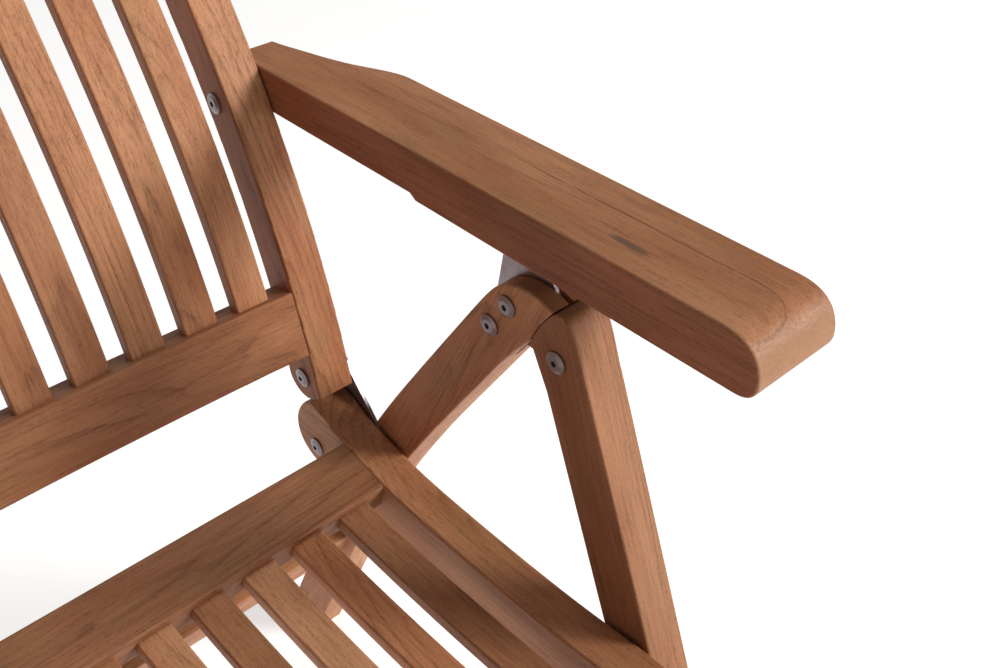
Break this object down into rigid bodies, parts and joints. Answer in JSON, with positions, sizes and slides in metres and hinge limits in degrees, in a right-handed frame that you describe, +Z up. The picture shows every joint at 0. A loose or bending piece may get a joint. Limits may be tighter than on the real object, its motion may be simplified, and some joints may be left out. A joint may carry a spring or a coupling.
{
  "type": "folding reclining armchair",
  "caption": "Slatted hardwood armchair with high reclining back, armrests notched onto hinge plates, flip-up seat and legs that fold together.",
  "frame": {"origin": "centre of the chair's footprint box at floor level", "axes": "+X towards the sitter's left arm, +Y from the front of the seat to the back, +Z up"},
  "size_m": [0.6046, 0.795, 1.0763],
  "materials": {
    "teak_frame": "satin oiled",
    "teak_slats": "satin oiled",
    "teak_arms": "satin oiled",
    "steel_plate": "satin",
    "steel_bolts": "satin"
  },
  "bodies": {
    "rear_frame": {"corner_plate_bolts": "steel_bolts", "corner_plate_left": "steel_plate", "corner_plate_right": "steel_plate", "corner_plate_screws": "steel_bolts", "hinge_plate_bolts": "steel_bolts", "hinge_plate_left": "steel_plate", "hinge_plate_right": "steel_plate", "lock_pins": "steel_bolts", "rear_leg_left": "teak_frame", "rear_leg_right": "teak_frame", "rear_stretcher": "teak_frame"},
    "front_frame": {"front_leg_left": "teak_frame", "front_leg_right": "teak_frame", "front_stretcher": "teak_frame", "leg_hinge_bolts": "steel_bolts"},
    "seat_frame": {"seat_front_rail": "teak_frame", "seat_pivot_bolts": "steel_bolts", "seat_rear_rail": "teak_frame", "seat_side_rail_left": "teak_frame", "seat_side_rail_right": "teak_frame", "seat_slat_1": "teak_slats", "seat_slat_2": "teak_slats", "seat_slat_3": "teak_slats", "seat_slat_4": "teak_slats", "seat_slat_5": "teak_slats", "seat_slat_6": "teak_slats", "seat_slat_7": "teak_slats", "seat_slat_8": "teak_slats"},
    "back_frame": {"back_lower_rail": "teak_frame", "back_pivot_bolts": "steel_bolts", "back_slat_1": "teak_slats", "back_slat_2": "teak_slats", "back_slat_3": "teak_slats", "back_slat_4": "teak_slats", "back_slat_5": "teak_slats", "back_slat_6": "teak_slats", "back_slat_7": "teak_slats", "back_slat_8": "teak_slats", "back_top_rail": "teak_frame", "stile_left": "teak_frame", "stile_right": "teak_frame", "arm_pivot_bolts": "steel_bolts"},
    "arm_left": {"armrest_left": "teak_arms", "arm_rack_left": "steel_plate"},
    "arm_right": {"armrest_right": "teak_arms", "arm_rack_right": "steel_plate"}
  },
  "joints": [
    {"name": "seat_lift", "type": "hinge", "parent": "rear_frame", "child": "seat_frame", "pos_m": [0, 0.10892, 0.395], "axis": [-1, 0, 0], "range_deg": [0, 46]},
    {"name": "legs_fold", "type": "hinge", "parent": "rear_frame", "child": "front_frame", "pos_m": [0, -0.14377, 0.6185], "axis": [1, 0, 0], "range_deg": [0, 48.4]},
    {"name": "back_recline", "type": "hinge", "parent": "rear_frame", "child": "back_frame", "pos_m": [0, 0.11822, 0.469], "axis": [-1, 0, 0], "range_deg": [-6, 24]},
    {"name": "arm_left_tilt", "type": "hinge", "parent": "back_frame", "child": "arm_left", "pos_m": [0.265, 0.19623, 0.698], "axis": [-1, 0, 0], "range_deg": [-16.6, 4.2]},
    {"name": "arm_right_tilt", "type": "hinge", "parent": "back_frame", "child": "arm_right", "pos_m": [-0.265, 0.19623, 0.698], "axis": [-1, 0, 0], "range_deg": [-16.6, 4.2]}
  ],
  "couplings": [
    {"joint": "legs_fold", "follows": "seat_lift", "ratio": 1.052},
    {"joint": "arm_left_tilt", "follows": "back_recline", "ratio": -0.69},
    {"joint": "arm_right_tilt", "follows": "back_recline", "ratio": -0.69}
  ]
}
